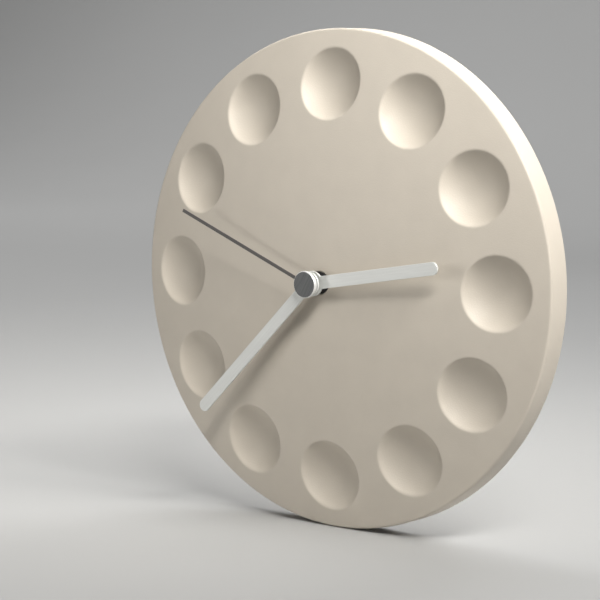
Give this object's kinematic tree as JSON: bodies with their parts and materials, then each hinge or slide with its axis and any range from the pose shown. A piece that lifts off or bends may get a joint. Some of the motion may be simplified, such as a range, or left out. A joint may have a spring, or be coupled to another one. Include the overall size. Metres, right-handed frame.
{
  "type": "magnetic fridge clock",
  "caption": "Round domed clock with a ring of dimples as hour marks, plain bar hands and a quartz movement, held on a steel door by disc magnets.",
  "frame": {"origin": "on the hand axis, in the plane of the door that the magnets rest on", "axes": "+Y into the door, -Y towards the viewer, +Z to twelve o'clock, +X to three o'clock"},
  "size_m": [0.1774, 0.0299, 0.1774],
  "materials": {
    "case_plastic": "cream moulded plastic, fine matte",
    "magnet_nickel": "nickel plate",
    "washer_rubber": "black rubber",
    "movement_black": "black plastic, fine texture",
    "gear_white": "white acetal",
    "gear_black": "black acetal",
    "soft_iron": "bare soft iron",
    "copper_wire": "enamelled copper wire",
    "board_green": "board lacquer",
    "contact_metal": "plated spring brass",
    "hand_silver": "pale silver satin",
    "second_grey": "dark grey satin",
    "arbor_steel": "turned steel",
    "magnet_dark": "sintered magnet",
    "cell_can": null,
    "cell_sleeve": "plain shrink sleeve"
  },
  "bodies": {
    "clock_case": {"dial_case": "case_plastic", "door_magnets": "magnet_nickel", "rubber_washer": "washer_rubber", "movement_front_case": "movement_black", "movement_rear_case": "movement_black", "middle_plate": "gear_white", "stator_left": "soft_iron", "stator_right": "soft_iron", "coil_core": "soft_iron", "coil_bobbin": "gear_white", "coil_winding": "copper_wire", "circuit_board": "board_green", "chip_seal": "movement_black", "quartz_crystal": "magnet_nickel", "positive_contact": "contact_metal", "negative_contact": "contact_metal"},
    "minute_train": {"minute_hand": "hand_silver", "minute_hand_hub": "hand_silver", "minute_tube": "gear_white", "centre_wheel": "gear_white"},
    "hour_train": {"hour_hand": "hand_silver", "hour_hand_hub": "hand_silver", "hour_wheel": "gear_black"},
    "seconds_train": {"second_hand": "second_grey", "second_hand_cap": "second_grey", "seconds_arbor": "arbor_steel", "seconds_wheel": "gear_white"},
    "third_wheel_body": {"third_wheel": "gear_white"},
    "intermediate_body": {"intermediate_wheel": "gear_white"},
    "rotor": {"rotor_pinion": "gear_white", "rotor_magnet": "magnet_dark"},
    "minute_works": {"minute_works_wheel": "gear_white"},
    "setting_knob_body": {"setting_knob": "gear_black"},
    "battery": {"battery_cell": "cell_can", "battery_sleeve": "cell_sleeve"}
  },
  "joints": [
    {"name": "second_hand_turn", "type": "hinge", "parent": "clock_case", "child": "seconds_train", "pos_m": [0, -0.02, 0], "axis": [0, 1, 0], "continuous": true},
    {"name": "minute_hand_turn", "type": "hinge", "parent": "clock_case", "child": "minute_train", "pos_m": [0, -0.02, 0], "axis": [0, 1, 0], "continuous": true},
    {"name": "hour_hand_turn", "type": "hinge", "parent": "clock_case", "child": "hour_train", "pos_m": [0, -0.02, 0], "axis": [0, 1, 0], "continuous": true},
    {"name": "third_wheel_turn", "type": "hinge", "parent": "clock_case", "child": "third_wheel_body", "pos_m": [0.00886, -0.007, -0.00156], "axis": [0, 1, 0], "continuous": true},
    {"name": "intermediate_wheel_turn", "type": "hinge", "parent": "clock_case", "child": "intermediate_body", "pos_m": [-0.00336, -0.005, 0.00582], "axis": [0, 1, 0], "continuous": true},
    {"name": "rotor_turn", "type": "hinge", "parent": "clock_case", "child": "rotor", "pos_m": [-0.00606, -0.006, 0.0105], "axis": [0, 1, 0], "continuous": true},
    {"name": "minute_works_turn", "type": "hinge", "parent": "clock_case", "child": "minute_works", "pos_m": [-0.0092, -0.012, 0], "axis": [0, 1, 0], "continuous": true},
    {"name": "setting_knob_turn", "type": "hinge", "parent": "clock_case", "child": "setting_knob_body", "pos_m": [-0.0184, -0.005, 0], "axis": [0, 1, 0], "continuous": true},
    {"name": "battery_out", "type": "slide", "parent": "clock_case", "child": "battery", "axis": [0, 1, 0], "range_m": [0, 0.018]}
  ],
  "couplings": [
    {"joint": "minute_hand_turn", "follows": "second_hand_turn", "ratio": 0.016667},
    {"joint": "hour_hand_turn", "follows": "second_hand_turn", "ratio": 0.0013889},
    {"joint": "third_wheel_turn", "follows": "second_hand_turn", "ratio": -0.13333},
    {"joint": "intermediate_wheel_turn", "follows": "second_hand_turn", "ratio": -6},
    {"joint": "rotor_turn", "follows": "second_hand_turn", "ratio": 30},
    {"joint": "minute_works_turn", "follows": "second_hand_turn", "ratio": -0.0055556},
    {"joint": "setting_knob_turn", "follows": "second_hand_turn", "ratio": 0.016667}
  ]
}
